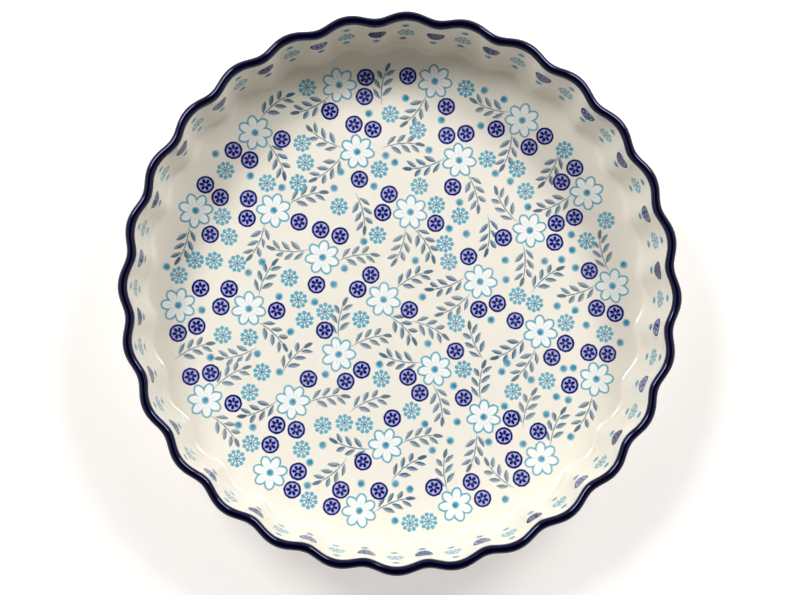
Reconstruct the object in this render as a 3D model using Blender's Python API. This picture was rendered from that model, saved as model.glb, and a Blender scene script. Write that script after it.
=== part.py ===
# Fluted stoneware pie dish: one fired clay body with a flat floor, a leaning fluted wall, a full-round lip
# and a low foot ring. Lengths are in metres, +Z is up, and the origin is under the middle of the foot ring.

import math

import bmesh
import bpy
from mathutils import Vector

# Wall and lip
HEIGHT = 0.045               # foot ring to the top of the lip
RIM_RADIUS = 0.1286          # outside of the lip, half way between a flute's crest and its valley
RIM_THICKNESS = 0.0044       # across the lip
OUTER_LEAN = math.radians(9.0)    # outside of the wall, from upright
INNER_LEAN = math.radians(10.0)   # inside of the wall, so that the clay thickens towards the floor

# Flutes
FLUTE_COUNT = 28
FLUTE_REACH_AT_RIM = 0.00145      # how far a crest stands out from the mean wall
FLUTE_REACH_AT_FOOT = 0.0018
VALLEY_TIGHTNESS = 0.07           # share of a second wave that rounds the crests and tightens the valleys

# Floor and corners
FLOOR_THICKNESS = 0.0065
FLOOR_FILLET_RADIUS = 0.0035      # inside, where the wall runs into the floor
BASE_CORNER_RADIUS = 0.0045       # outside, where the wall turns under

# Foot ring
FOOT_HEIGHT = 0.0020
FOOT_WIDTH = 0.0060
FOOT_INSET = 0.0085               # from the outside wall's foot in to the ring's outer side
FOOT_EDGE_RADIUS = 0.0007
FOOT_LEAN = math.radians(20.0)    # both sides of the ring, so that it leaves its mould

# Glaze edges
RIM_BAND_HEIGHT = 0.0030          # how far the blue band comes down from the top of the lip

# Facets
STEPS_PER_FLUTE = 8
LIP_STEPS = 7
FILLET_STEPS = 5
CORNER_STEPS = 3
EDGE_STEPS = 2

FLOOR_LEVEL = FOOT_HEIGHT + FLOOR_THICKNESS
LIP_RADIUS = RIM_THICKNESS / 2
LIP_CENTRE = Vector((RIM_RADIUS - LIP_RADIUS, HEIGHT - LIP_RADIUS))


def clear_scene():
    for obj in list(bpy.data.objects):
        bpy.data.objects.remove(obj)


# Points on an arc of the section, in its (radius, height) plane.
def arc(centre, radius, start, end, steps):
    points = []
    for i in range(steps + 1):
        angle = start + (end - start) * i / steps
        points.append(centre + radius * Vector((math.cos(angle), math.sin(angle))))
    return points


# The points that round off the corner between two straight stretches of the section.
def rounded(before, corner, after, radius, steps):
    to_before = (before - corner).normalized()
    to_after = (after - corner).normalized()
    half_angle = to_before.angle(to_after) / 2
    setback = radius / math.tan(half_angle)
    middle = (to_before + to_after).normalized()
    centre = corner + middle * (radius / math.sin(half_angle))
    first = corner + to_before * setback - centre
    last = corner + to_after * setback - centre
    turn = first.angle_signed(last)
    points = []
    for i in range(steps + 1):
        angle = math.atan2(first.y, first.x) - turn * i / steps
        points.append(centre + radius * Vector((math.cos(angle), math.sin(angle))))
    return points


# Where the outside of the wall would stand at a height, if it ran straight on.
def outer_wall(height):
    tangent = LIP_CENTRE + LIP_RADIUS * Vector((math.cos(OUTER_LEAN), -math.sin(OUTER_LEAN)))
    return Vector((tangent.x - (tangent.y - height) * math.tan(OUTER_LEAN), height))


# The same for the inside of the wall.
def inner_wall(height):
    tangent = LIP_CENTRE + LIP_RADIUS * Vector((-math.cos(INNER_LEAN), math.sin(INNER_LEAN)))
    return Vector((tangent.x - (tangent.y - height) * math.tan(INNER_LEAN), height))


# The dish's section from under its middle, round the outside and over the lip to the floor. Each entry is a
# point and whether the flutes move it.
def section():
    base_corner = outer_wall(FOOT_HEIGHT)
    ring_outer = base_corner.x - FOOT_INSET
    ring_inner = ring_outer - FOOT_WIDTH
    draft = FOOT_HEIGHT * math.tan(FOOT_LEAN)
    recess_edge = Vector((ring_inner - draft, FOOT_HEIGHT))
    ring_in = Vector((ring_inner, 0))
    ring_out = Vector((ring_outer, 0))
    ring_root = Vector((ring_outer + draft, FOOT_HEIGHT))
    floor_corner = inner_wall(FLOOR_LEVEL)
    plain = [recess_edge]
    plain += rounded(recess_edge, ring_in, ring_out, FOOT_EDGE_RADIUS, EDGE_STEPS)
    plain += rounded(ring_in, ring_out, ring_root, FOOT_EDGE_RADIUS, EDGE_STEPS)
    plain.append(ring_root)
    fluted = rounded(ring_root, base_corner, outer_wall(HEIGHT), BASE_CORNER_RADIUS, CORNER_STEPS)
    fluted += arc(LIP_CENTRE, LIP_RADIUS, -OUTER_LEAN, math.pi - INNER_LEAN, LIP_STEPS)
    floor_middle = Vector((0, FLOOR_LEVEL))
    fluted += rounded(inner_wall(HEIGHT), floor_corner, floor_middle, FLOOR_FILLET_RADIUS, FILLET_STEPS)
    return [(point, 0) for point in plain] + [(point, 1) for point in fluted]


# How far the flutes move the wall out at an angle round the dish and a height.
def flute_reach(angle, height):
    phase = FLUTE_COUNT * angle
    wave = math.cos(phase) - VALLEY_TIGHTNESS * math.cos(2 * phase)
    growth = 1 - height / HEIGHT
    return wave * (FLUTE_REACH_AT_RIM + (FLUTE_REACH_AT_FOOT - FLUTE_REACH_AT_RIM) * growth)


# The section turned once round the axis, pushed in and out into flutes, and closed underneath and at the floor.
def dish_mesh():
    bm = bmesh.new()
    is_fluted = bm.verts.layers.int.new("is_fluted")
    profile = []
    for point, fluted in section():
        vertex = bm.verts.new((point.x, 0, point.y))
        vertex[is_fluted] = fluted
        profile.append(vertex)
    edges = [bm.edges.new(pair) for pair in zip(profile, profile[1:])]
    bmesh.ops.spin(bm, geom=profile + edges, cent=(0, 0, 0), axis=(0, 0, 1), angle=math.tau,
                   steps=FLUTE_COUNT * STEPS_PER_FLUTE, use_merge=True, use_duplicate=False)
    for vertex in bm.verts:
        if vertex[is_fluted]:
            angle = math.atan2(vertex.co.y, vertex.co.x)
            radius = vertex.co.xy.length
            vertex.co.xy *= 1 + flute_reach(angle, vertex.co.z) / radius
    openings = [edge for edge in bm.edges if edge.is_boundary]
    bmesh.ops.holes_fill(bm, edges=openings, sides=len(openings))
    bmesh.ops.recalc_face_normals(bm, faces=bm.faces)
    mesh = bpy.data.meshes.new("dish_body")
    bm.to_mesh(mesh)
    bm.free()
    return mesh


def material(name, colour, roughness):
    made = bpy.data.materials.new(name)
    made.use_nodes = True
    shader = made.node_tree.nodes["Principled BSDF"]
    shader.inputs["Base Color"].default_value = (*colour, 1)
    shader.inputs["Roughness"].default_value = roughness
    shader.inputs["Metallic"].default_value = 0
    return made


# Cream glaze over the dish, a blue band on the lip, and bare clay where the foot ring stood in the kiln.
def paint(mesh):
    mesh.materials.append(material("cream_glaze", (0.84, 0.79, 0.69), 0.12))
    mesh.materials.append(material("cobalt_rim_glaze", (0.012, 0.010, 0.065), 0.10))
    mesh.materials.append(material("bare_stoneware", (0.60, 0.52, 0.42), 0.80))
    for face in mesh.polygons:
        if face.center.z > HEIGHT - RIM_BAND_HEIGHT:
            face.material_index = 1
        elif face.center.z < FOOT_HEIGHT / 2:
            face.material_index = 2


def build_dish():
    mesh = dish_mesh()
    paint(mesh)
    mesh.shade_smooth()
    mesh.set_sharp_from_angle(angle=math.radians(35))
    dish = bpy.data.objects.new("dish_body", mesh)
    bpy.context.scene.collection.objects.link(dish)


clear_scene()
build_dish()
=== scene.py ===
# Looks of a fluted stoneware pie dish: cream clay, stamped in blue and grey under a clear gloss glaze.
# The mesh is in metres. Stamps are laid out in millimetres, as a decorator would measure them.

import math
import random

import bmesh
import bpy
from mathutils import Matrix, Vector
from mathutils.geometry import delaunay_2d_cdt


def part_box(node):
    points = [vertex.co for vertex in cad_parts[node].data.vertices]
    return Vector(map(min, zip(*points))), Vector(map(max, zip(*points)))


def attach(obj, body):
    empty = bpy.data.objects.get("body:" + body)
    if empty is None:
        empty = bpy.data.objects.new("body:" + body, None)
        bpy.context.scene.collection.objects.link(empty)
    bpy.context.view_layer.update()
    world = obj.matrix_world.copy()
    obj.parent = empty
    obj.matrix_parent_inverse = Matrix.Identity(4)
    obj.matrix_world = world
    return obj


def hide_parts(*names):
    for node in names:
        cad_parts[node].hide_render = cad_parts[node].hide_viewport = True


mm = 0.001

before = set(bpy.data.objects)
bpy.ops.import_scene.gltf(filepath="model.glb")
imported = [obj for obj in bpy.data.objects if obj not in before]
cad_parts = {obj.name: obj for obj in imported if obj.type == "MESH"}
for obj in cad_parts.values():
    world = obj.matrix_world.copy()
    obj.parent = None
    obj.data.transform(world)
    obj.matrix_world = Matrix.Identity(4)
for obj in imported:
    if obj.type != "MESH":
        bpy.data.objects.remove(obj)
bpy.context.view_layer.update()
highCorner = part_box("dish_body")[1]
print("frame loaded")


# puts a mesh, a lamp or a camera into the scene
def addObject(name, data):
    added = bpy.data.objects.new(name, data)
    bpy.context.scene.collection.objects.link(added)
    return added


# the dish: one fired clay body

dish = {
    "height": highCorner.z,
    "crestRadius": highCorner.x,      # outside of the lip at the crest of a flute
    "fluteCount": 28,
    "reachAtRim": 1.45 * mm,          # how far a crest stands out from the mean wall
    "reachAtFoot": 1.8 * mm,
    "valleyTightness": 0.07,          # share of a second wave that rounds crests and tightens valleys
    "lipThickness": 4.4 * mm,
    "outerLean": math.radians(9),
    "innerLean": math.radians(10),
    "floorLevel": 8.5 * mm,
    "floorFillet": 3.5 * mm,
    "baseCorner": 4.5 * mm,
    "footHeight": 2.0 * mm,
    "footWidth": 6.0 * mm,
    "footInset": 8.5 * mm,
    "footEdge": 0.7 * mm,
    "footLean": math.radians(20),
    "bareFoot": 0.9 * mm,             # the foot ring is wiped clean of glaze up to here
    "sharpFrom": math.radians(35),    # corners over this angle stay sharp in the shading
    "columnsPerFlute": 20,
    "wallRows": 18,
    "lipSteps": 14,
    "filletSteps": 8,
    "cornerSteps": 5,
    "edgeSteps": 3,
}
lipRadius = dish["lipThickness"] / 2
rimRadius = dish["crestRadius"] - dish["reachAtRim"] * (1 - dish["valleyTightness"])
lipCentre = Vector((rimRadius - lipRadius, dish["height"] - lipRadius))
flutePitch = math.tau / dish["fluteCount"]


# points on an arc of the section, which lies in (radius, height)
def arcPoints(centre, radius, start, end, steps):
    points = []
    for i in range(steps + 1):
        angle = start + (end - start) * i / steps
        points.append(centre + radius * Vector((math.cos(angle), math.sin(angle))))
    return points


# an arc in place of the corner between two straight stretches
def roundedCorner(before, corner, after, radius, steps):
    toBefore = (before - corner).normalized()
    toAfter = (after - corner).normalized()
    half = toBefore.angle(toAfter) / 2
    centre = corner + (toBefore + toAfter).normalized() * radius / math.sin(half)
    first = corner + toBefore * radius / math.tan(half) - centre
    last = corner + toAfter * radius / math.tan(half) - centre
    start = math.atan2(first.y, first.x)
    return arcPoints(centre, radius, start, start - first.angle_signed(last), steps)


# outside of the wall at a height, if it ran straight on
def outerWall(height):
    lean = dish["outerLean"]
    tangent = lipCentre + lipRadius * Vector((math.cos(lean), -math.sin(lean)))
    return Vector((tangent.x - (tangent.y - height) * math.tan(lean), height))


# inside of the wall, the same way
def innerWall(height):
    lean = dish["innerLean"]
    tangent = lipCentre + lipRadius * Vector((-math.cos(lean), math.sin(lean)))
    return Vector((tangent.x - (tangent.y - height) * math.tan(lean), height))


# rows of a straight stretch, without its ends
def rowsBetween(start, end):
    return [start.lerp(end, i / dish["wallRows"]) for i in range(1, dish["wallRows"])]


# the section from the floor's edge up the inside, over the lip, down the outside and under to the recess
def sectionParts():
    base = outerWall(dish["footHeight"])
    ringOut = Vector((base.x - dish["footInset"], 0))
    ringIn = ringOut - Vector((dish["footWidth"], 0))
    draft = dish["footHeight"] * math.tan(dish["footLean"])
    ringRoot = Vector((ringOut.x + draft, dish["footHeight"]))
    recessEdge = Vector((ringIn.x - draft, dish["footHeight"]))
    floorMiddle = Vector((0, dish["floorLevel"]))
    floorCorner = innerWall(dish["floorLevel"])
    innerTop, outerTop = innerWall(dish["height"]), outerWall(dish["height"])
    fillet = roundedCorner(floorMiddle, floorCorner, innerTop, dish["floorFillet"], dish["filletSteps"])
    lipStart, lipEnd = math.pi - dish["innerLean"], -dish["outerLean"]
    lip = arcPoints(lipCentre, lipRadius, lipStart, lipEnd, dish["lipSteps"])
    corner = roundedCorner(outerTop, base, ringRoot, dish["baseCorner"], dish["cornerSteps"])
    footEdge, edgeSteps = dish["footEdge"], dish["edgeSteps"]
    foot = [ringRoot] + roundedCorner(ringRoot, ringOut, ringIn, footEdge, edgeSteps)
    foot += roundedCorner(ringOut, ringIn, recessEdge, footEdge, edgeSteps) + [recessEdge]
    return {
        "fillet": fillet,
        "inside": rowsBetween(fillet[-1], lip[0]),
        "lip": lip,
        "outside": rowsBetween(lip[-1], corner[0]),
        "corner": corner,
        "foot": foot,
    }


# how far the flutes move the wall out at an angle and a height
def fluteReach(angle, height):
    phase = dish["fluteCount"] * angle
    wave = math.cos(phase) - dish["valleyTightness"] * math.cos(2 * phase)
    growth = 1 - height / dish["height"]
    return wave * (dish["reachAtRim"] + (dish["reachAtFoot"] - dish["reachAtRim"]) * growth)


# the section turned once round and pushed into flutes. Each vertex keeps "along", its millimetres along the
# section from the top of the lip, minus on the inside
def turnWall(bm):
    along = bm.verts.layers.float.new("along")
    fluted = bm.verts.layers.int.new("fluted")
    parts = sectionParts()
    points = [point for part in parts.values() for point in part]
    lengths = [0]
    for start, end in zip(points, points[1:]):
        lengths.append(lengths[-1] + (end - start).length)
    top = len(parts["fillet"]) + len(parts["inside"]) + dish["lipSteps"] // 2
    profile = []
    for i, point in enumerate(points):
        vertex = bm.verts.new((point.x, 0, point.y))
        vertex[along] = (lengths[i] - lengths[top]) / mm
        vertex[fluted] = int(i < len(points) - len(parts["foot"]))
        profile.append(vertex)
    edges = [bm.edges.new(pair) for pair in zip(profile, profile[1:])]
    steps = dish["fluteCount"] * dish["columnsPerFlute"]
    bmesh.ops.spin(bm, geom=profile + edges, cent=(0, 0, 0), axis=(0, 0, 1), angle=math.tau, steps=steps,
                   use_merge=True, use_duplicate=False)
    for vertex in bm.verts:
        if vertex[fluted]:
            angle = math.atan2(vertex.co.y, vertex.co.x)
            vertex.co.xy *= 1 + fluteReach(angle, vertex.co.z) / vertex.co.xy.length
    bm.verts.layers.int.remove(fluted)


# stamps on the floor: where the decorator sets each one, in millimetres from the dish's middle

stampSizes = {"daisy": 8.4, "ringBloom": 4.3, "wheel": 4.2, "dot": 2.1}   # radius of each round stamp
stampKinds = {"daisy": 1, "ringBloom": 2, "wheel": 3, "dot": 4}           # the number that its faces carry
sprig = {
    "length": 19.0,
    "circles": [(3.4, 2.4), (7.3, 4.5), (11.4, 4.3), (15.3, 3.4), (18.2, 1.3)],   # along it, and radius
    "middle": 9.6,                  # of the oval that is cut into the floor for it
    "halfLength": 10.9,
    "halfWidth": 5.6,
}
layout = {
    "seed": 7,
    "wallSeed": 8,
    "edge": 112.6,                  # nothing is stamped past this radius on the floor
    "sprigInset": 1.2,              # a sprig's oval reaches this much past its leaves
    "gap": 0.3,                     # between round stamps
    "tuck": -0.5,                   # a sprig may reach this far under a round stamp
    # radius, how many, first one in degrees, and the degrees from straight out to each daisy's blooms. Every
    # second daisy has its blooms the other way round
    "daisyRings": [
        (103.4, 14, 4, (88, 129, 215)),
        (71.0, 9, 27, (10, 51, 190)),
        (39.6, 5, 10, (60, 101, 255)),
        (7.0, 1, 200, (40, 81, 220)),
    ],
    "daisyStray": 0.6,              # how far the hand may miss a daisy's place, in x and in y
    "bloomDistance": 13.2,
    "bloomStray": 1,                # degrees round its daisy
    "sprigsPerDaisy": 2,
    "sprigTries": 90,
    "sprigStray": 0.5,              # radians that a sprig may lean to either side of straight out
    "sprigTuck": 0.3,               # a daisy's sprig starts this far inside its outline
    "freeSprigs": 16,
    "wheels": 60,
    "dots": 80,
    "tries": 2600,
    "leastInk": 0.05,               # "ink" runs from here to 1 on the floor, and from 1 to 2 on the wall
    "cellMargin": 0.3,              # from a round stamp out to the outline that is cut for it
    "roundCellPoints": 18,
    "sprigCellPoints": 26,
    "samePoint": 0.0001,            # outlines that cross closer than this share a point
    "weld": 0.001,                  # the floor joins the wall within this distance
}


# circles that a stamp covers
def stampCircles(kind, x, y, turn):
    if kind != "sprig":
        return [(x, y, stampSizes[kind])]
    return [(x + u * math.cos(turn), y + u * math.sin(turn), radius) for u, radius in sprig["circles"]]


# sets a stamp unless something is in its way, and says whether it did
def setStamp(stamps, kind, x, y, turn, ink):
    circles = stampCircles(kind, x, y, turn)
    edge = layout["edge"] - (layout["sprigInset"] if kind == "sprig" else 0)
    if any(math.hypot(cx, cy) + radius > edge for cx, cy, radius in circles):
        return False
    for other in stamps:
        mixed = (kind == "sprig") != (other["kind"] == "sprig")
        gap = layout["tuck"] if mixed else layout["gap"]
        for ox, oy, otherRadius in other["circles"]:
            for cx, cy, radius in circles:
                if math.hypot(cx - ox, cy - oy) < radius + otherRadius + gap:
                    return False
    stamps.append({"kind": kind, "x": x, "y": y, "turn": turn, "ink": ink, "circles": circles})
    return True


# daisies in rings, each with its blooms and sprigs, then wheels and dots wherever there is room
def floorStamps():
    chance = random.Random(layout["seed"])
    stamps = []
    daisies = []
    for ringRadius, count, first, blooms in layout["daisyRings"]:
        for i in range(count):
            out = math.radians(first) + math.tau * i / count
            x = ringRadius * math.cos(out) + chance.uniform(-1, 1) * layout["daisyStray"]
            y = ringRadius * math.sin(out) + chance.uniform(-1, 1) * layout["daisyStray"]
            if setStamp(stamps, "daisy", x, y, chance.uniform(0, math.tau), chance.random()):
                daisies.append((x, y, out, blooms if i % 2 else [-side for side in blooms]))
    for x, y, out, blooms in daisies:
        for side in blooms:
            angle = out + math.radians(side + chance.uniform(-1, 1) * layout["bloomStray"])
            bloomX = x + layout["bloomDistance"] * math.cos(angle)
            bloomY = y + layout["bloomDistance"] * math.sin(angle)
            setStamp(stamps, "ringBloom", bloomX, bloomY, chance.uniform(0, math.tau), chance.random())
    away = stampSizes["daisy"] - layout["sprigTuck"]
    for x, y, _, _ in daisies:
        grown = 0
        for _ in range(layout["sprigTries"]):
            angle = chance.uniform(0, math.tau)
            turn = angle + chance.uniform(-layout["sprigStray"], layout["sprigStray"])
            rootX, rootY = x + away * math.cos(angle), y + away * math.sin(angle)
            grown += setStamp(stamps, "sprig", rootX, rootY, turn, chance.random())
            if grown == layout["sprigsPerDaisy"]:
                break
    fillers = {"sprig": layout["freeSprigs"], "wheel": layout["wheels"], "dot": layout["dots"]}
    for kind, most in fillers.items():
        placed = 0
        for _ in range(layout["tries"]):
            angle = chance.uniform(0, math.tau)
            away = layout["edge"] * math.sqrt(chance.random())
            x, y = away * math.cos(angle), away * math.sin(angle)
            placed += setStamp(stamps, kind, x, y, chance.uniform(0, math.tau), chance.random())
            if placed == most:
                break
        print("set", placed, "of", most, kind, "stamps")
    return stamps


# an oval outline round a stamp, counter-clockwise
def cellOutline(stamp):
    if stamp["kind"] == "sprig":
        middle, length, width = sprig["middle"], sprig["halfLength"], sprig["halfWidth"]
        count = layout["sprigCellPoints"]
    else:
        middle, count = 0, layout["roundCellPoints"]
        length = width = stampSizes[stamp["kind"]] + layout["cellMargin"]
    turned = Matrix.Rotation(stamp["turn"], 2)
    outline = []
    for i in range(count):
        angle = math.tau * i / count
        point = Vector((middle + length * math.cos(angle), width * math.sin(angle)))
        outline.append(Vector((stamp["x"], stamp["y"])) + turned @ point)
    return outline


# layers for each stamp's own coordinates, in millimetres from its middle, its kind and how wet its ink is
def stampLayers(bm):
    return {
        "round": bm.loops.layers.uv.new("roundStamps"),
        "sprig": bm.loops.layers.uv.new("sprigStamps"),
        "kind": bm.faces.layers.float.new("stampKind"),
        "ink": bm.faces.layers.float.new("stampInk"),
        "sprigInk": bm.faces.layers.float.new("sprigInk"),
    }


# closes the floor with faces cut along every stamp's outline, each knowing the stamps that it lies in
def fillFloor(bm, layers, stamps):
    level = dish["floorLevel"]
    ring = [vertex for vertex in bm.verts if vertex.is_boundary and vertex.co.z > level / 2]
    ring.sort(key=lambda vertex: math.atan2(vertex.co.y, vertex.co.x))
    points = [Vector((vertex.co.x / mm, vertex.co.y / mm)) for vertex in ring]
    cells = [list(range(len(ring)))]
    for stamp in stamps:
        outline = cellOutline(stamp)
        cells.append(list(range(len(points), len(points) + len(outline))))
        points += outline
    insideOnly = 1      # the triangles inside the ring
    cut = delaunay_2d_cdt(points, [], cells, insideOnly, layout["samePoint"])
    places, _, triangles, _, _, sources = cut
    along = bm.verts.layers.float["along"]
    floorVerts = [bm.verts.new((place.x * mm, place.y * mm, level)) for place in places]
    for vertex in floorVerts:
        vertex[along] = ring[0][along]
    for triangle, source in zip(triangles, sources):
        face = bm.faces.new([floorVerts[i] for i in triangle])
        for stamp in [stamps[cell - 1] for cell in source if cell > 0]:
            isSprig = stamp["kind"] == "sprig"
            unturned = Matrix.Rotation(-stamp["turn"], 2)
            middle = Vector((stamp["x"], stamp["y"]))
            for loop in face.loops:
                place = Vector((loop.vert.co.x / mm, loop.vert.co.y / mm))
                loop[layers["sprig" if isSprig else "round"]].uv = unturned @ (place - middle)
            ink = layout["leastInk"] + (1 - layout["leastInk"]) * stamp["ink"]
            face[layers["sprigInk" if isSprig else "ink"]] = ink
            if not isSprig:
                face[layers["kind"]] = stampKinds[stamp["kind"]]
    bmesh.ops.remove_doubles(bm, verts=floorVerts + ring, dist=layout["weld"] * mm)


# stamps on the wall, inside and out: each row has one on every flute

wallStampRows = [      # kind, millimetres along the section from the lip's top, flutes on from a crest
    ("ringBloom", -14.0, 0.5),
    ("dot", -21.8, 0.5),
    ("wheel", -19.5, 0.0),
    ("dot", -10.5, 0.0),
    ("dot", -28.5, 0.0),
    ("ringBloom", 15.5, 0.5),
    ("dot", 24.5, 0.5),
    ("wheel", 21.5, 0.0),
    ("dot", 12.0, 0.0),
    ("dot", 31.0, 0.0),
]
wallHand = {
    "strayRound": 0.004,      # radians
    "strayAlong": 0.4,        # mm
    "margin": 1.3,            # mm past a stamp's radius that its faces reach
}


# every stamp on the wall, keyed by its row and its flute
def wallStamps():
    chance = random.Random(layout["wallSeed"])
    stamps = {}
    for row, (_, along, first) in enumerate(wallStampRows):
        for flute in range(dish["fluteCount"]):
            stamps[row, flute] = {
                "angle": (first + flute) * flutePitch + chance.uniform(-1, 1) * wallHand["strayRound"],
                "along": along + chance.uniform(-1, 1) * wallHand["strayAlong"],
                "turn": chance.uniform(0, math.tau),
                "ink": 1 + chance.random(),
            }
    return stamps


# millimetres round and along the wall from a stamp to a vertex
def fromStamp(stamp, vertex, along):
    turned = math.atan2(vertex.co.y, vertex.co.x) - stamp["angle"]
    turned = (turned + math.pi) % math.tau - math.pi
    return Vector((turned * vertex.co.xy.length / mm, vertex[along] - stamp["along"]))


# gives each face of the wall the first stamp that reaches it
def stampWall(bm, layers):
    along = bm.verts.layers.float["along"]
    stamps = wallStamps()
    for face in bm.faces:
        middleAlong = sum(vertex[along] for vertex in face.verts) / len(face.verts)
        centre = face.calc_center_median()
        angle = math.atan2(centre.y, centre.x) % math.tau
        for row, (kind, rowAlong, first) in enumerate(wallStampRows):
            reach = stampSizes[kind] + wallHand["margin"]
            if abs(middleAlong - rowAlong) > reach:
                continue
            flute = round(angle / flutePitch - first) % dish["fluteCount"]
            stamp = stamps[row, flute]
            corners = [fromStamp(stamp, loop.vert, along) for loop in face.loops]
            if (sum(corners, Vector((0, 0))) / len(corners)).length > reach:
                continue
            unturned = Matrix.Rotation(-stamp["turn"], 2)
            for loop, corner in zip(face.loops, corners):
                loop[layers["round"]].uv = unturned @ corner
            face[layers["kind"]] = stampKinds[kind]
            face[layers["ink"]] = stamp["ink"]
            break


# a UV map for baking the pattern into one picture: the floor is a large disc, the underside a small one, and
# the wall lies below them in strips, half a turn each. Places and heights are shares of the picture

bakeDiscs = {      # middle, and how much of the picture a metre takes
    "floor": (Vector((0.328, 0.672)), 2.766),
    "underside": (Vector((0.83, 0.83)), 1.341),
}
bakeStrips = {     # millimetres along the section, from and to, then the first half's bottom and its height
    "inside": (-40.5, 0.0, 0.002, 0.1),
    "outside": (0.0, 47.5, 0.21, 0.064),
}
bakeGap = 0.004             # between two strips
flatWithin = 0.01 * mm      # a face that rises less than this lies on a disc


# lays each face on its disc or strip
def layBakeMap(bm):
    along = bm.verts.layers.float["along"]
    layer = bm.loops.layers.uv.new("OFBake")
    for face in bm.faces:
        heights = [vertex.co.z for vertex in face.verts]
        isFlat = max(heights) - min(heights) < flatWithin
        if isFlat or max(heights) < dish["footHeight"] + flatWithin:
            middle, scale = bakeDiscs["underside" if max(heights) < dish["floorLevel"] / 2 else "floor"]
            for loop in face.loops:
                loop[layer].uv = middle + loop.vert.co.xy * scale
            continue
        isInside = sum(vertex[along] for vertex in face.verts) < 0
        start, end, bottom, tall = bakeStrips["inside" if isInside else "outside"]
        centre = face.calc_center_median()
        middleAngle = math.atan2(centre.y, centre.x) % math.tau
        half = int(middleAngle > math.pi)
        for loop in face.loops:
            turned = math.atan2(loop.vert.co.y, loop.vert.co.x) - middleAngle
            angle = middleAngle + (turned + math.pi) % math.tau - math.pi
            climbed = (loop.vert[along] - start) / (end - start)
            loop[layer].uv = (angle / math.pi - half, bottom + half * (tall + bakeGap) + tall * climbed)


# the whole dish as one closed mesh. Material 0 is the glaze, and 1 the bare clay under the foot
def makeDish():
    bm = bmesh.new()
    turnWall(bm)
    layers = stampLayers(bm)
    stampWall(bm, layers)
    fillFloor(bm, layers, floorStamps())
    underside = [edge for edge in bm.edges if edge.is_boundary]
    bmesh.ops.holes_fill(bm, edges=underside, sides=len(underside))
    bmesh.ops.recalc_face_normals(bm, faces=bm.faces)
    layBakeMap(bm)
    for face in bm.faces:
        face.material_index = int(face.calc_center_median().z < dish["bareFoot"])
    mesh = bpy.data.meshes.new("glazed_dish")
    bm.to_mesh(mesh)
    bm.free()
    mesh.shade_smooth()
    mesh.set_sharp_from_angle(angle=dish["sharpFrom"])
    body = addObject("glazed_dish", mesh)
    print("dish modelled,", len(mesh.polygons), "faces")
    return body


# materials

def linearColour(hexCode):
    channels = [int(hexCode[i:i + 2], 16) / 255 for i in (1, 3, 5)]
    return (*[c / 12.92 if c <= 0.04045 else ((c + 0.055) / 1.055) ** 2.4 for c in channels], 1)


# adds a node with its settings. A link is a value, a socket, or a node, whose first live output is taken
def addNode(tree, kind, links, **settings):
    node = tree.nodes.new("ShaderNode" + kind)
    for name, value in settings.items():
        setattr(node, name, value)
    for socket, value in links.items():
        if isinstance(value, bpy.types.Node):
            value = next(output for output in value.outputs if output.enabled)
        if isinstance(value, bpy.types.NodeSocket):
            tree.links.new(value, node.inputs[socket])
        else:
            node.inputs[socket].default_value = value
    return node


# a new material with its nodes, its shader, and the place on the piece that its patterns read
def startMaterial(name):
    material = bpy.data.materials.new(name)
    material.use_nodes = True
    tree = material.node_tree
    place = addNode(tree, "TexCoord", {}).outputs["Object"]
    return material, tree, tree.nodes["Principled BSDF"], place


# Clear gloss stoneware glaze, dipped over a cream body that was stamped by hand with sponge and ink.
# It gives a hard wet shine, ink edges that have bled a little, and a surface that is never quite level.
glaze = {
    "cream": "#f9f4e8",
    "creamShade": "#f3ede0",
    "white": "#fbfbf8",
    "turquoise": "#5eadc4",
    "turquoiseDeep": "#2484a8",
    "cobalt": "#0f0c66",
    "cobaltWash": "#a2aae4",
    "leaf": "#a6bdcc",
    "leafDark": "#46677f",
    "lip": "#04021e",
    "lipWash": "#2f2d78",
    "lipShine": "#c0c8ff",      # what the cobalt under it does to the glaze's shine
    "roughness": 0.09,
    "roughnessSpan": (-0.02, 0.03),     # how far the mottle moves it
    "ior": 1.56,
    "bleed": 0.2,               # mm that ink spreads at an edge
    "dotBleed": 0.65,           # the same at a sponge dot's edge
    "dotInset": 0.4,            # mm from a dot's outline in to its edge
    "deepAt": (0.5, 0.35, 0),   # mm from a stamp's middle to where its turquoise is deepest
    "deepSpan": (0.3, 2.1),     # mm from there over which it thins out
    "thinnest": 0.9,            # share of its colour that the driest sponge leaves
    "thinnestLeaf": 0.85,
    "thinnestCobalt": 0.97,     # the cobalt is printed wetter
    "pooled": 1.5,              # how fast a wash deepens to its ink where it ran together on the steep wall
    "wobbleSize": 1.7 * mm,     # hand-stamped edges waver at this scale
    "wobble": 0.5,              # mm, the whole span of it
    "mottleSize": 9.0 * mm,
    "mottleSpan": (0.3, 0.7),   # where most of the mottle's values lie
    "swellSize": 14.0 * mm,     # the glaze surface rolls at this scale
    "swell": 0.10,              # mm high
    "peelSize": 2.6 * mm,
    "peel": 0.006,              # mm high
    "slip": 0.05,               # mm that the white stands proud
}
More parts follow.
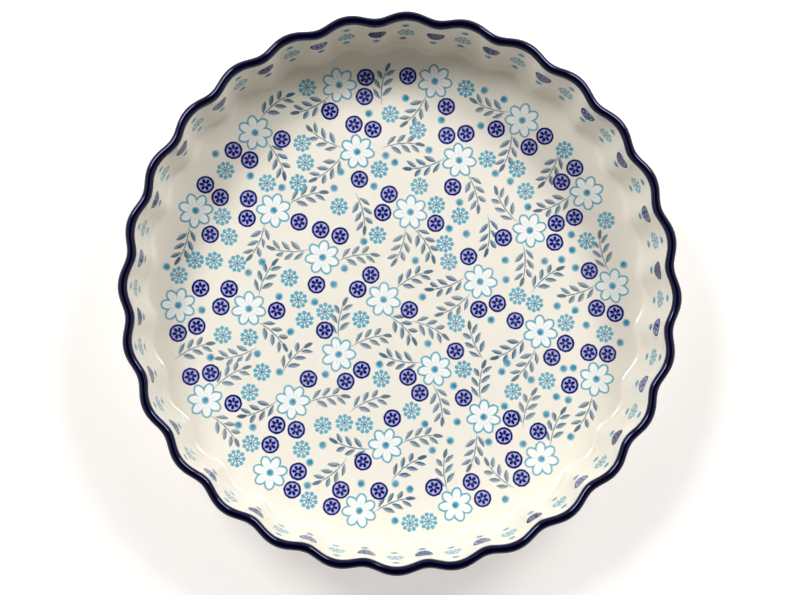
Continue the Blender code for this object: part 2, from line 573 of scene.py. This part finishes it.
# the stamps' drawings, in millimetres. A place is measured out from the stamp's middle, or along a sprig, and
# an oval is half its length and half its width
daisyShape = {
    "petals": 7,
    "petalAt": 4.8,
    "outer": (3.68, 2.68),      # a petal's outline
    "inner": (2.84, 1.84),      # the white in it
    "core": 3.0,                # radius of the white that joins the petals
    "eye": 1.65,
    "veinAt": 3.6,
    "vein": (1.0, 0.16),
    "veinInk": 0.35,            # share of the full colour
}
ringBloomShape = {
    "petals": 6,
    "petalAt": 1.75,
    "petal": (1.22, 0.74),
    "rim": 4.2,                 # outside of the ring
    "hollow": 3.2,              # inside of the ring
    "wash": 0.86,               # share of the full colour
}
wheelShape = {
    "spokes": 9,
    "beadAt": 3.3,
    "bead": (1.0, 1.0),
    "spokeAt": 1.65,
    "spoke": (0.85, 0.42),
    "eye": 0.75,
}
leafShape = {
    "first": 1.7,
    "spacing": 4.8,
    "pairs": 3,
    "lean": math.radians(42),
    "length": 6.7,
    "shorten": 0.7,             # from one pair to the next
    "start": 0.8,               # from the stem out to a leaf's root
    "halfWidth": 1.1,
    "edge": 0.16,               # softness of a leaf's edge
    "stagger": 0.9,             # how far the leaves are shifted, one way on each side of the stem
    "bend": 0.016,              # how strongly the stem arches
    "stemAt": 7.7,
    "stem": (9.0, 0.32),
    "tipAt": 17.2,
    "tip": (2.3, 0.95),         # the leaf at the stem's end
}
lipBand = {
    "inner": -3.6,              # mm along the section from the lip's top to the band's edge inside
    "outer": 5.8,               # and outside
    "soft": 0.22,
    "wash": 0.42,               # how far the thin wash runs past the band
    "waver": 0.8,
    "waverSize": 5.0 * mm,
}


# a soft-edged oval of ink
def inkOval(tree, coords, middle, radii):
    offset = addNode(tree, "VectorMath", {0: coords, 1: (middle, 0, 0)}, operation="SUBTRACT")
    scaled = addNode(tree, "VectorMath", {0: offset, 1: (*radii, 1)}, operation="DIVIDE")
    distance = addNode(tree, "VectorMath", {0: scaled}, operation="LENGTH")
    soft = glaze["bleed"] / min(radii)
    edge = {"Value": distance, "From Min": 1 + soft, "From Max": 1 - soft}
    return addNode(tree, "MapRange", edge, interpolation_type="SMOOTHSTEP")


# a soft-edged disc of ink about a stamp's middle
def inkDisc(tree, polar, radius, bleed=glaze["bleed"]):
    edge = {"Value": polar["radius"], "From Min": radius + bleed, "From Max": radius - bleed}
    return addNode(tree, "MapRange", edge, interpolation_type="SMOOTHSTEP")


# folds a stamp round its middle, so that one petal is drawn for all: x runs out along it, y across it
def foldPetals(tree, polar, count):
    fold = addNode(tree, "Math", {0: polar["angle"], 1: math.pi / count}, operation="PINGPONG")
    cosine = addNode(tree, "Math", {0: fold}, operation="COSINE")
    sine = addNode(tree, "Math", {0: fold}, operation="SINE")
    direction = addNode(tree, "CombineXYZ", {0: cosine, 1: sine})
    return addNode(tree, "VectorMath", {0: direction, "Scale": polar["radius"]}, operation="SCALE")


# a white daisy with a turquoise outline, veins and eye: where it is white, and where it is drawn
def daisyInk(tree, polar, isDaisy):
    petal = foldPetals(tree, polar, daisyShape["petals"])
    outer = inkOval(tree, petal, daisyShape["petalAt"], daisyShape["outer"])
    inner = inkOval(tree, petal, daisyShape["petalAt"], daisyShape["inner"])
    core = inkDisc(tree, polar, daisyShape["core"])
    inside = addNode(tree, "Math", {0: inner, 1: core}, operation="MAXIMUM")
    white = addNode(tree, "Math", {0: inside, 1: isDaisy}, operation="MULTIPLY")
    vein = inkOval(tree, petal, daisyShape["veinAt"], daisyShape["vein"])
    paleVein = addNode(tree, "Math", {0: vein, 1: daisyShape["veinInk"]}, operation="MULTIPLY")
    outline = addNode(tree, "Math", {0: outer, 1: inside}, operation="SUBTRACT", use_clamp=True)
    lines = addNode(tree, "Math", {0: outline, 1: paleVein}, operation="MAXIMUM")
    eye = inkDisc(tree, polar, daisyShape["eye"], glaze["dotBleed"])
    drawn = addNode(tree, "Math", {0: lines, 1: eye}, operation="MAXIMUM")
    return white, addNode(tree, "Math", {0: drawn, 1: isDaisy}, operation="MULTIPLY")


# a cobalt ring with a six-petalled bloom in it: its lines, and the disc that the wash covers
def ringBloomInk(tree, polar, isBloom):
    petal = foldPetals(tree, polar, ringBloomShape["petals"])
    bloom = inkOval(tree, petal, ringBloomShape["petalAt"], ringBloomShape["petal"])
    disc = inkDisc(tree, polar, ringBloomShape["rim"])
    hollow = inkDisc(tree, polar, ringBloomShape["hollow"])
    ring = addNode(tree, "Math", {0: disc, 1: hollow}, operation="SUBTRACT", use_clamp=True)
    drawn = addNode(tree, "Math", {0: ring, 1: bloom}, operation="MAXIMUM")
    line = addNode(tree, "Math", {0: drawn, 1: isBloom}, operation="MULTIPLY")
    return line, addNode(tree, "Math", {0: disc, 1: isBloom}, operation="MULTIPLY")


# a turquoise ring of beads round short spokes
def wheelInk(tree, polar, isWheel):
    spoke = foldPetals(tree, polar, wheelShape["spokes"])
    beads = inkOval(tree, spoke, wheelShape["beadAt"], wheelShape["bead"])
    spokes = inkOval(tree, spoke, wheelShape["spokeAt"], wheelShape["spoke"])
    eye = inkDisc(tree, polar, wheelShape["eye"])
    drawn = addNode(tree, "Math", {0: beads, 1: spokes}, operation="MAXIMUM")
    withEye = addNode(tree, "Math", {0: drawn, 1: eye}, operation="MAXIMUM")
    return addNode(tree, "Math", {0: withEye, 1: isWheel}, operation="MULTIPLY")


# a grey sprig's leaves, in pairs along its stem and leaning forward: where they lie, and how dark they are
def leafInk(tree, u, v):
    lean, spacing = leafShape["lean"], leafShape["spacing"]
    cotangent, sine = 1 / math.tan(lean), math.sin(lean)
    half = addNode(tree, "Math", {0: v}, operation="SIGN")
    staggered = addNode(tree, "Math", {0: half, 1: leafShape["stagger"], 2: u}, operation="MULTIPLY_ADD")
    side = addNode(tree, "Math", {0: v}, operation="ABSOLUTE")
    sheared = addNode(tree, "Math", {0: side, 1: -cotangent, 2: staggered}, operation="MULTIPLY_ADD")
    places = {0: sheared, 1: 1 / spacing, 2: -leafShape["first"] / spacing}
    counted = addNode(tree, "Math", places, operation="MULTIPLY_ADD")
    nearest = addNode(tree, "Math", {0: counted}, operation="ROUND")
    leafNumber = addNode(tree, "Clamp", {"Value": nearest, "Min": 0, "Max": leafShape["pairs"] - 1})
    past = addNode(tree, "Math", {0: counted, 1: leafNumber}, operation="SUBTRACT")
    across = addNode(tree, "Math", {0: past, 1: spacing * sine}, operation="MULTIPLY")
    root = {0: side, 1: 1 / sine, 2: -leafShape["start"]}
    outward = addNode(tree, "Math", root, operation="MULTIPLY_ADD")
    along = addNode(tree, "Math", {0: across, 1: cotangent, 2: outward}, operation="MULTIPLY_ADD")
    lengths = {0: leafNumber, 1: -leafShape["shorten"], 2: leafShape["length"]}
    length = addNode(tree, "Math", lengths, operation="MULTIPLY_ADD")
    share = addNode(tree, "Math", {0: along, 1: length}, operation="DIVIDE")
    left = addNode(tree, "Math", {0: 1.0, 1: share}, operation="SUBTRACT")
    bulge = addNode(tree, "Math", {0: share, 1: left}, operation="MULTIPLY")
    widest = 4 * leafShape["halfWidth"]      # the bulge is a quarter at a leaf's middle
    width = addNode(tree, "Math", {0: bulge, 1: widest}, operation="MULTIPLY")
    offMiddle = addNode(tree, "Math", {0: across}, operation="ABSOLUTE")
    outside = addNode(tree, "Math", {0: offMiddle, 1: width}, operation="SUBTRACT")
    edge = {"Value": outside, "From Min": leafShape["edge"], "From Max": -leafShape["edge"]}
    leaf = addNode(tree, "MapRange", edge, interpolation_type="SMOOTHSTEP")
    shade = {"Value": across, "From Min": -leafShape["halfWidth"], "From Max": leafShape["halfWidth"] / 2}
    return leaf, addNode(tree, "MapRange", shade)


# a grey sprig: how much ink, and how dark it is
def sprigInk(tree, coords, amount):
    apart = addNode(tree, "SeparateXYZ", {0: coords})
    u, v = apart.outputs[0], apart.outputs[1]
    rest = addNode(tree, "Math", {0: sprig["length"], 1: u}, operation="SUBTRACT")
    arch = addNode(tree, "Math", {0: rest, 1: u}, operation="MULTIPLY")
    bent = addNode(tree, "Math", {0: arch, 1: -leafShape["bend"], 2: v}, operation="MULTIPLY_ADD")
    straight = addNode(tree, "CombineXYZ", {0: u, 1: bent})
    stem = inkOval(tree, straight, leafShape["stemAt"], leafShape["stem"])
    tip = inkOval(tree, straight, leafShape["tipAt"], leafShape["tip"])
    stalk = addNode(tree, "Math", {0: stem, 1: tip}, operation="MAXIMUM")
    leaf, dark = leafInk(tree, u, bent)
    drawn = addNode(tree, "Math", {0: leaf, 1: stalk}, operation="MAXIMUM")
    isHere = addNode(tree, "Math", {0: amount, 1: layout["leastInk"] / 2}, operation="GREATER_THAN")
    density = addNode(tree, "MapRange", {"Value": amount, "To Min": glaze["thinnestLeaf"], "To Max": 1.0})
    inked = addNode(tree, "Math", {0: isHere, 1: density}, operation="MULTIPLY")
    return addNode(tree, "Math", {0: drawn, 1: inked}, operation="MULTIPLY"), dark


# lays the grey sprigs over a colour
def laySprigs(tree, wobble, colour):
    place = addNode(tree, "UVMap", {}, uv_map="sprigStamps")
    coords = addNode(tree, "VectorMath", {0: place, 1: wobble}, operation="ADD")
    amount = addNode(tree, "Attribute", {}, attribute_name="sprigInk").outputs["Fac"]
    ink, dark = sprigInk(tree, coords, amount)
    shades = {0: dark, 6: linearColour(glaze["leaf"]), 7: linearColour(glaze["leafDark"])}
    pigment = addNode(tree, "Mix", shades, data_type="RGBA")
    return addNode(tree, "Mix", {0: ink, 6: colour, 7: pigment}, data_type="RGBA")


# lays the white and turquoise stamps over a colour, and says where the white is
def layDaisiesAndWheels(tree, stamps, colour):
    polar, chosen, amount = stamps["polar"], stamps["chosen"], stamps["amount"]
    white, daisyLines = daisyInk(tree, polar, chosen["daisy"])
    whitened = {0: white, 6: colour, 7: linearColour(glaze["white"])}
    colour = addNode(tree, "Mix", whitened, data_type="RGBA")
    wheelLines = wheelInk(tree, polar, chosen["wheel"])
    lines = addNode(tree, "Math", {0: daisyLines, 1: wheelLines}, operation="MAXIMUM")
    dot = inkDisc(tree, polar, stampSizes["dot"] - glaze["dotInset"], glaze["dotBleed"])
    dotInk = addNode(tree, "Math", {0: dot, 1: chosen["dot"]}, operation="MULTIPLY")
    drawn = addNode(tree, "Math", {0: lines, 1: dotInk}, operation="MAXIMUM")
    density = addNode(tree, "MapRange", {"Value": amount, "To Min": glaze["thinnest"], "To Max": 1.0})
    ink = addNode(tree, "Math", {0: drawn, 1: density}, operation="MULTIPLY")
    away = addNode(tree, "VectorMath", {0: stamps["coords"], 1: glaze["deepAt"]}, operation="DISTANCE")
    deep, thin = glaze["deepSpan"]
    depth = addNode(tree, "MapRange", {"Value": away, "From Min": thin, "From Max": deep})
    shades = {0: depth, 6: linearColour(glaze["turquoise"]), 7: linearColour(glaze["turquoiseDeep"])}
    pigment = addNode(tree, "Mix", shades, data_type="RGBA")
    return white, addNode(tree, "Mix", {0: ink, 6: colour, 7: pigment}, data_type="RGBA")


# lays the cobalt blooms over a colour, first their wash and then their lines
def layRingBlooms(tree, stamps, colour):
    lines, disc = ringBloomInk(tree, stamps["polar"], stamps["chosen"]["ringBloom"])
    wash = addNode(tree, "Math", {0: disc, 1: ringBloomShape["wash"]}, operation="MULTIPLY")
    onWall = {"Value": stamps["amount"], "From Min": 1.0, "From Max": 2.0, "To Max": glaze["pooled"]}
    pooled = addNode(tree, "MapRange", onWall)
    cobalt = linearColour(glaze["cobalt"])
    shades = {0: pooled, 6: linearColour(glaze["cobaltWash"]), 7: cobalt}
    washColour = addNode(tree, "Mix", shades, data_type="RGBA")
    colour = addNode(tree, "Mix", {0: wash, 6: colour, 7: washColour}, data_type="RGBA")
    wetter = {"Value": stamps["amount"], "To Min": glaze["thinnestCobalt"], "To Max": 1.0}
    density = addNode(tree, "MapRange", wetter)
    ink = addNode(tree, "Math", {0: lines, 1: density}, operation="MULTIPLY")
    return addNode(tree, "Mix", {0: ink, 6: colour, 7: cobalt}, data_type="RGBA")


# the lip is brushed last, so its edge wavers and a thin wash runs past it: the colour, and where the band is
def brushLip(tree, place, colour):
    brush = addNode(tree, "TexNoise", {"Vector": place, "Scale": 1 / lipBand["waverSize"], "Detail": 1.0})
    along = addNode(tree, "Attribute", {}, attribute_name="along").outputs["Fac"]
    shifted = addNode(tree, "Math", {0: brush, 1: lipBand["waver"], 2: along}, operation="MULTIPLY_ADD")
    level = addNode(tree, "Math", {0: shifted, 1: -lipBand["waver"] / 2}, operation="ADD")
    start, end, soft = lipBand["inner"], lipBand["outer"], lipBand["soft"]
    for reach, name in ((lipBand["wash"], "lipWash"), (0, "lip")):
        edge = {"Value": level, "From Min": start - reach - soft, "From Max": start + soft}
        inner = addNode(tree, "MapRange", edge, interpolation_type="SMOOTHSTEP")
        edge = {"Value": level, "From Min": end + reach + soft, "From Max": end - soft}
        outer = addNode(tree, "MapRange", edge, interpolation_type="SMOOTHSTEP")
        band = addNode(tree, "Math", {0: inner, 1: outer}, operation="MULTIPLY")
        colour = addNode(tree, "Mix", {0: band, 6: colour, 7: linearColour(glaze[name])}, data_type="RGBA")
    return colour, band


# the glaze rolls, has a fine orange peel and stands a little proud over the white
def glazeBump(tree, place, white):
    swell = addNode(tree, "TexNoise", {"Vector": place, "Scale": 1 / glaze["swellSize"], "Detail": 1.0})
    peel = addNode(tree, "TexNoise", {"Vector": place, "Scale": 1 / glaze["peelSize"], "Detail": 2.0})
    raised = addNode(tree, "Math", {0: white, 1: glaze["slip"]}, operation="MULTIPLY")
    rolled = addNode(tree, "Math", {0: swell, 1: glaze["swell"], 2: raised}, operation="MULTIPLY_ADD")
    height = addNode(tree, "Math", {0: peel, 1: glaze["peel"], 2: rolled}, operation="MULTIPLY_ADD")
    return addNode(tree, "Bump", {"Height": height, "Strength": 1.0, "Distance": mm})


# what the round stamps are drawn from: a place in millimetres, which kind is there, and how wet its ink is
def roundStamps(tree, wobble):
    place = addNode(tree, "UVMap", {}, uv_map="roundStamps")
    coords = addNode(tree, "VectorMath", {0: place, 1: wobble}, operation="ADD")
    apart = addNode(tree, "SeparateXYZ", {0: coords})
    polar = {
        "radius": addNode(tree, "VectorMath", {0: coords}, operation="LENGTH"),
        "angle": addNode(tree, "Math", {0: apart.outputs[1], 1: apart.outputs[0]}, operation="ARCTAN2"),
    }
    kind = addNode(tree, "Attribute", {}, attribute_name="stampKind").outputs["Fac"]
    within = 0.5      # kinds are whole numbers
    chosen = {name: addNode(tree, "Math", {0: kind, 1: number, 2: within}, operation="COMPARE")
              for name, number in stampKinds.items()}
    amount = addNode(tree, "Attribute", {}, attribute_name="stampInk").outputs["Fac"]
    return {"coords": coords, "polar": polar, "chosen": chosen, "amount": amount}


def glazeMaterial():
    material, tree, shader, place = startMaterial("stampedGlossGlaze")
    mottle = addNode(tree, "TexNoise", {"Vector": place, "Scale": 1 / glaze["mottleSize"], "Detail": 3.0})
    shades = {0: mottle, 6: linearColour(glaze["creamShade"]), 7: linearColour(glaze["cream"])}
    body = addNode(tree, "Mix", shades, data_type="RGBA")

    waver = addNode(tree, "TexNoise", {"Vector": place, "Scale": 1 / glaze["wobbleSize"], "Detail": 1.0})
    span, centred = glaze["wobble"], -glaze["wobble"] / 2
    shifts = {0: waver.outputs["Color"], 1: (span, span, 0), 2: (centred, centred, 0)}
    wobble = addNode(tree, "VectorMath", shifts, operation="MULTIPLY_ADD")

    stamps = roundStamps(tree, wobble)
    colour = laySprigs(tree, wobble, body)
    white, colour = layDaisiesAndWheels(tree, stamps, colour)
    colour = layRingBlooms(tree, stamps, colour)
    colour, band = brushLip(tree, place, colour)
    tint = {0: band, 6: (1, 1, 1, 1), 7: linearColour(glaze["lipShine"])}
    shine = addNode(tree, "Mix", tint, data_type="RGBA")
    bump = glazeBump(tree, place, white)

    low, high = glaze["mottleSpan"]
    smoothest, roughest = [glaze["roughness"] + change for change in glaze["roughnessSpan"]]
    gloss = addNode(tree, "MapRange", {"Value": mottle, "From Min": low, "From Max": high,
                                       "To Min": smoothest, "To Max": roughest})
    tree.links.new(colour.outputs[2], shader.inputs["Base Color"])
    tree.links.new(gloss.outputs[0], shader.inputs["Roughness"])
    tree.links.new(bump.outputs[0], shader.inputs["Normal"])
    tree.links.new(shine.outputs[2], shader.inputs["Specular Tint"])
    shader.inputs["IOR"].default_value = glaze["ior"]
    return material


# Bare stoneware where the foot ring stood on the kiln shelf: wiped of glaze, buff, matt and gritty.
bareClay = {
    "clay": "#c9b795",
    "dark": "#a88f6b",
    "tintSize": 6.0 * mm,
    "grit": "#7c6850",
    "gritSize": 0.7 * mm,
    "gritEdge": (0.32, 0.18),   # shares of its size where a grain's colour starts, and where it is full
    "gritHeight": 0.15 * mm,
    "gritStrength": 0.6,
    "roughness": 0.85,
}


def bareClayMaterial():
    material, tree, shader, place = startMaterial("bareStoneware")
    tint = addNode(tree, "TexNoise", {"Vector": place, "Scale": 1 / bareClay["tintSize"], "Detail": 3.0})
    shades = {0: tint, 6: linearColour(bareClay["dark"]), 7: linearColour(bareClay["clay"])}
    clay = addNode(tree, "Mix", shades, data_type="RGBA")
    grains = addNode(tree, "TexVoronoi", {"Vector": place, "Scale": 1 / bareClay["gritSize"]})
    away = grains.outputs["Distance"]
    starts, full = bareClay["gritEdge"]
    grit = addNode(tree, "MapRange", {"Value": away, "From Min": starts, "From Max": full})
    colour = addNode(tree, "Mix", {0: grit, 6: clay, 7: linearColour(bareClay["grit"])}, data_type="RGBA")
    bump = addNode(tree, "Bump", {"Height": away, "Strength": bareClay["gritStrength"],
                                  "Distance": bareClay["gritHeight"]})
    tree.links.new(colour.outputs[2], shader.inputs["Base Color"])
    tree.links.new(bump.outputs[0], shader.inputs["Normal"])
    shader.inputs["Roughness"].default_value = bareClay["roughness"]
    return material


dishBody = makeDish()
dishBody.data.materials.append(glazeMaterial())
dishBody.data.materials.append(bareClayMaterial())
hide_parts("dish_body")
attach(dishBody, "root")
print("dish glazed")


# 1 for what is seen straight, in a reflection or through glass, and 0 for light that falls on the dish
def seenRays(tree):
    rays = addNode(tree, "LightPath", {})
    seen = 0.0
    for ray in ("Is Camera Ray", "Is Glossy Ray", "Is Transmission Ray"):
        seen = addNode(tree, "Math", {0: seen, 1: rays.outputs[ray]}, operation="ADD", use_clamp=True)
    return seen


# the table: a plain white sheet that is seen white and keeps the dish's shadow

table = {
    "size": 8.0,
    "paper": "#e8e3df",
    "glow": "#fffdfc",          # added where the sheet is seen
    "lift": 0.41,               # how much of it beside the dish
    "farLift": 1.0,             # and far away
    "fades": (0.25, 1.0),       # metres from the dish's middle, from the one to the other
    "roughness": 0.9,
}


def makeTable():
    bm = bmesh.new()
    bmesh.ops.create_grid(bm, x_segments=1, y_segments=1, size=table["size"] / 2)
    mesh = bpy.data.meshes.new("table")
    bm.to_mesh(mesh)
    bm.free()
    material, tree, shader, place = startMaterial("whitePaper")
    shader.inputs["Base Color"].default_value = linearColour(table["paper"])
    shader.inputs["Roughness"].default_value = table["roughness"]
    shader.inputs["Specular IOR Level"].default_value = 0.0
    shader.inputs["Emission Color"].default_value = linearColour(table["glow"])
    away = addNode(tree, "VectorMath", {0: place}, operation="LENGTH")
    near, far = table["fades"]
    strength = addNode(tree, "MapRange", {"Value": away, "From Min": near, "From Max": far,
                                          "To Min": table["lift"], "To Max": table["farLift"]})
    lift = addNode(tree, "Math", {0: seenRays(tree), 1: strength}, operation="MULTIPLY")
    tree.links.new(lift.outputs[0], shader.inputs["Emission Strength"])
    mesh.materials.append(material)
    return addObject("table", mesh)


makeTable()
print("table laid")


# camera: close to straight above, as the dish faces the photographer

view = {
    "imageWidth": 794,
    "imageHeight": 595,
    "distance": 1.0,
    "tiltToLeft": math.radians(3.6),
    "tiltToFront": math.radians(2.5),
    "roll": math.radians(1.17),
    "rimRadius": 280.4,               # pixels that the rim's mean radius would span at the lens's axis
    "rimMiddle": (402.3, 291.9),      # where the rim's middle falls, in pixels
    "sensor": 36.0,
    "clipStart": 0.01,
}


def makeCamera():
    camera = bpy.data.cameras.new("camera")
    focalPixels = view["rimRadius"] / rimRadius * view["distance"]
    camera.sensor_width = view["sensor"]
    camera.lens = focalPixels * view["sensor"] / view["imageWidth"]
    camera.shift_x = (view["imageWidth"] / 2 - view["rimMiddle"][0]) / view["imageWidth"]
    camera.shift_y = (view["rimMiddle"][1] - view["imageHeight"] / 2) / view["imageWidth"]
    camera.clip_start = view["clipStart"]
    eye = addObject("camera", camera)
    back = Vector((-math.tan(view["tiltToLeft"]), -math.tan(view["tiltToFront"]), 1)).normalized()
    eye.location = Vector((0, 0, dish["height"])) + back * view["distance"]
    right = Vector((0, 1, 0)).cross(back).normalized()
    upright = Matrix((right, back.cross(right), back)).transposed()
    eye.rotation_mode = "QUATERNION"
    eye.rotation_quaternion = (upright @ Matrix.Rotation(view["roll"], 3, "Z")).to_quaternion()
    bpy.context.scene.camera = eye


makeCamera()


# studio: two softboxes past the dish's far edge, a low wide one between them, and a weak warm fill from the
# near side that makes no reflections. A white backdrop stands round the table, and over it tent walls, white
# at the left and right, dark in front where the camera stands, open at the top

softboxes = {      # degrees round from +X, degrees up, metres away, size, watts, colour, is it reflected
    "leftSoftbox": (138, 46, 3.0, (1.05, 0.68), 45.6, "#ffffff", True),
    "rightSoftbox": (48, 42, 3.0, (1.05, 0.68), 43.1, "#ffffff", True),
    "farSoftbox": (90, 30, 3.5, (3.2, 1.25), 8.4, "#ffffff", True),
    "nearFill": (270, 20, 3.5, (3.0, 1.0), 6.9, "#ffe7c4", False),
}
tentWalls = {      # degrees round, how bright
    "left": (168, 1.12),
    "right": (12, 0.95),
    "near": (270, 0.1),
}
tent = {
    "wallsStart": (22, 30),       # degrees up, from dark to bright, as the next two
    "wallsEnd": (58, 50),
    "backdropEnds": (14, 10),
    "wallPower": 2.0,             # how quickly a wall fades from its middle to its sides
    "unlitSide": (0, -1, 0),      # here the backdrop is only seen, and gives the dish no light
    "unlitSpan": (0.3, 0.9),      # how squarely a place faces that side, from lit to unlit
}


# light that grows from none to full between two angles up from the table
def growsBetween(tree, height, angles):
    dark, bright = [math.sin(math.radians(angle)) for angle in angles]
    edge = {"Value": height, "From Min": dark, "From Max": bright}
    return addNode(tree, "MapRange", edge, interpolation_type="SMOOTHSTEP")


# the tent's light: each wall is brightest in its middle and fades into the next one
def tentLight(tree):
    way = addNode(tree, "TexCoord", {}).outputs["Generated"]
    level = addNode(tree, "VectorMath", {0: way, 1: (1, 1, 0)}, operation="MULTIPLY")
    flat = addNode(tree, "VectorMath", {0: level}, operation="NORMALIZE")
    allWalls = 0.0
    for turn, strength in tentWalls.values():
        middle = (math.cos(math.radians(turn)), math.sin(math.radians(turn)), 0)
        facing = addNode(tree, "VectorMath", {0: flat, 1: middle}, operation="DOT_PRODUCT")
        ahead = addNode(tree, "Math", {0: facing, 1: 0.0}, operation="MAXIMUM")
        fading = addNode(tree, "Math", {0: ahead, 1: tent["wallPower"]}, operation="POWER")
        allWalls = addNode(tree, "Math", {0: fading, 1: strength, 2: allWalls}, operation="MULTIPLY_ADD")
    height = addNode(tree, "SeparateXYZ", {0: way}).outputs[2]
    rising = growsBetween(tree, height, tent["wallsStart"])
    falling = growsBetween(tree, height, tent["wallsEnd"])
    upright = addNode(tree, "Math", {0: rising, 1: falling}, operation="MULTIPLY")
    backdrop = growsBetween(tree, height, tent["backdropEnds"])
    squarely = addNode(tree, "VectorMath", {0: flat, 1: tent["unlitSide"]}, operation="DOT_PRODUCT")
    start, end = tent["unlitSpan"]
    edge = {"Value": squarely, "From Min": end, "From Max": start}
    lit = addNode(tree, "MapRange", edge, interpolation_type="SMOOTHSTEP")
    shown = addNode(tree, "Math", {0: lit, 1: seenRays(tree)}, operation="MAXIMUM")
    sweep = addNode(tree, "Math", {0: backdrop, 1: shown}, operation="MULTIPLY")
    return addNode(tree, "Math", {0: allWalls, 1: upright, 2: sweep}, operation="MULTIPLY_ADD")


def makeStudio():
    for name, (turn, climb, distance, size, watts, colour, reflected) in softboxes.items():
        turn, climb = math.radians(turn), math.radians(climb)
        flat = Vector((math.cos(turn), math.sin(turn), 0)) * math.cos(climb)
        place = (flat + Vector((0, 0, math.sin(climb)))) * distance
        lamp = bpy.data.lights.new(name, "AREA")
        lamp.shape = "RECTANGLE"
        lamp.size, lamp.size_y = size
        lamp.energy = watts
        lamp.color = linearColour(colour)[:3]
        box = addObject(name, lamp)
        box.location = place
        box.rotation_mode = "QUATERNION"
        box.rotation_quaternion = place.to_track_quat("Z", "Y")
        box.visible_glossy = reflected
    world = bpy.data.worlds.new("tent")
    world.use_nodes = True
    bpy.context.scene.world = world
    background = world.node_tree.nodes["Background"]
    background.inputs["Color"].default_value = (1, 1, 1, 1)
    strength = tentLight(world.node_tree).outputs[0]
    world.node_tree.links.new(strength, background.inputs["Strength"])
    bpy.context.scene.view_settings.view_transform = "Standard"


makeStudio()
print("camera and studio set")
